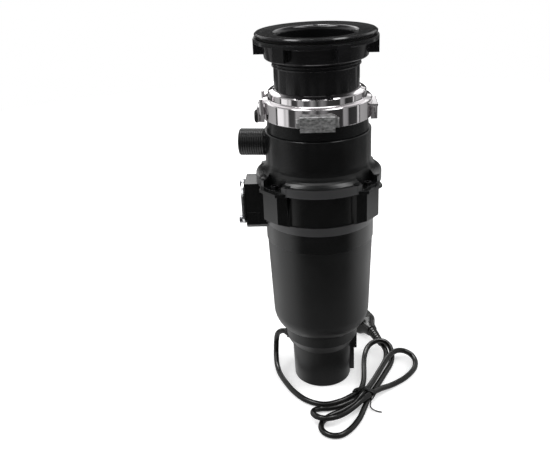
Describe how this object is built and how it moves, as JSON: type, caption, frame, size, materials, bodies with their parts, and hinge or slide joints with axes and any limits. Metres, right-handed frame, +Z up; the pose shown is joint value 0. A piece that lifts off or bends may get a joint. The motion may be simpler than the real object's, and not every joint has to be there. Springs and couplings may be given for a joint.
{
  "type": "garbage disposal",
  "caption": "Upright under-sink garbage disposal with a threaded sink flange, a chrome locking ring, a stepped black body, a side discharge box and a tied mains cord.",
  "frame": {"origin": "centre of the base, on the surface the disposal stands on, under the rotor's axis", "axes": "+Z up along the rotor's axis towards the sink; the discharge box points to -X; the front with the ring's grey bracket is -Y"},
  "size_m": [0.1968, 0.2455, 0.3935],
  "materials": {
    "black_plastic": "fine satin",
    "flange_plastic": "gloss",
    "black_rubber": "matt",
    "ring_chrome": "polished",
    "bracket_steel": "satin",
    "stainless": "satin",
    "plate_steel": "zinc plated",
    "screw_steel": "zinc plated",
    "shaft_steel": "ground",
    "bracket_alloy": "cast",
    "frame_paint": "satin",
    "core_steel": "laminated",
    "copper": "enamelled wire",
    "ferrite": "matt",
    "carbon": "matt",
    "holder_plastic": "matt",
    "protector_plastic": "matt",
    "sleeve_felt": "felt",
    "button_plastic": "gloss",
    "cord_jacket": "satin",
    "plug_plastic": "satin",
    "blade_brass": "polished",
    "tie_plastic": "satin"
  },
  "bodies": {
    "housing": {"sink_flange": "flange_plastic", "flange_gasket": "black_rubber", "splash_guard": "black_rubber", "mounting_collar": "black_plastic", "grind_chamber": "black_plastic", "shredder_ring": "stainless", "chamber_seal": "black_rubber", "waste_housing": "black_plastic", "discharge_gasket": "black_rubber", "discharge_plate": "plate_steel", "discharge_screw_low": "screw_steel", "discharge_screw_high": "screw_steel", "joint_screw_a": "screw_steel", "joint_screw_b": "screw_steel", "joint_screw_c": "screw_steel", "joint_screw_d": "screw_steel", "shaft_seal": "black_rubber", "upper_bracket": "bracket_alloy", "upper_bearing": "shaft_steel", "motor_frame": "frame_paint", "magnet_left": "ferrite", "magnet_right": "ferrite", "carbon_brush_a": "carbon", "carbon_brush_b": "carbon", "brush_holder_a": "holder_plastic", "brush_holder_b": "holder_plastic", "lower_bracket": "bracket_alloy", "lower_bearing": "shaft_steel", "sound_sleeve": "sleeve_felt", "motor_shell": "black_plastic", "tail_housing": "black_plastic", "wiring_cover": "black_plastic", "base_cover": "black_plastic", "overload_protector": "protector_plastic", "cord_relief": "black_rubber", "power_cord": "cord_jacket", "cord_plug": "plug_plastic", "plug_blades": "blade_brass", "cord_tie": "tie_plastic"},
    "rotor": {"motor_shaft": "shaft_steel", "turntable": "stainless", "turntable_cap": "stainless", "impeller_rivet_a": "stainless", "impeller_rivet_b": "stainless", "armature_core": "core_steel", "armature_winding": "copper", "commutator": "copper"},
    "impeller_a": {"impeller_a": "stainless"},
    "impeller_b": {"impeller_b": "stainless"},
    "ring": {"locking_ring": "ring_chrome", "ring_bracket_front": "bracket_steel", "ring_bracket_left": "ring_chrome", "ring_bracket_right": "ring_chrome", "ring_bracket_back": "ring_chrome", "ring_bumper": "black_rubber"},
    "washer": {"slip_washer": "flange_plastic"},
    "nut": {"mounting_nut": "black_plastic"},
    "reset": {"reset_button": "button_plastic"}
  },
  "joints": [
    {"name": "rotor_spin", "type": "hinge", "parent": "housing", "child": "rotor", "pos_m": [0, 0, 0.2], "axis": [0, 0, 1], "continuous": true},
    {"name": "impeller_a_swing", "type": "hinge", "parent": "rotor", "child": "impeller_a", "pos_m": [0.03101, 0.01129, 0.2515], "axis": [0, 0, 1], "range_deg": [-40, 40]},
    {"name": "impeller_b_swing", "type": "hinge", "parent": "rotor", "child": "impeller_b", "pos_m": [-0.03101, -0.01129, 0.2515], "axis": [0, 0, 1], "range_deg": [-40, 40]},
    {"name": "ring_turn", "type": "hinge", "parent": "housing", "child": "ring", "pos_m": [0, 0, 0.32], "axis": [0, 0, 1], "range_deg": [-30, 0]},
    {"name": "nut_travel", "type": "slide", "parent": "housing", "child": "washer", "axis": [0, 0, -1], "range_m": [0, 0.01]},
    {"name": "nut_turn", "type": "hinge", "parent": "washer", "child": "nut", "pos_m": [0, 0, 0.378], "axis": [0, 0, -1], "range_deg": [0, 1200]},
    {"name": "reset_press", "type": "slide", "parent": "housing", "child": "reset", "axis": [0, 0, 1], "range_m": [0, 0.002], "stiffness_N_per_m": 300}
  ],
  "couplings": [
    {"joint": "nut_turn", "follows": "nut_travel", "rad_per_m": 2094.4}
  ]
}
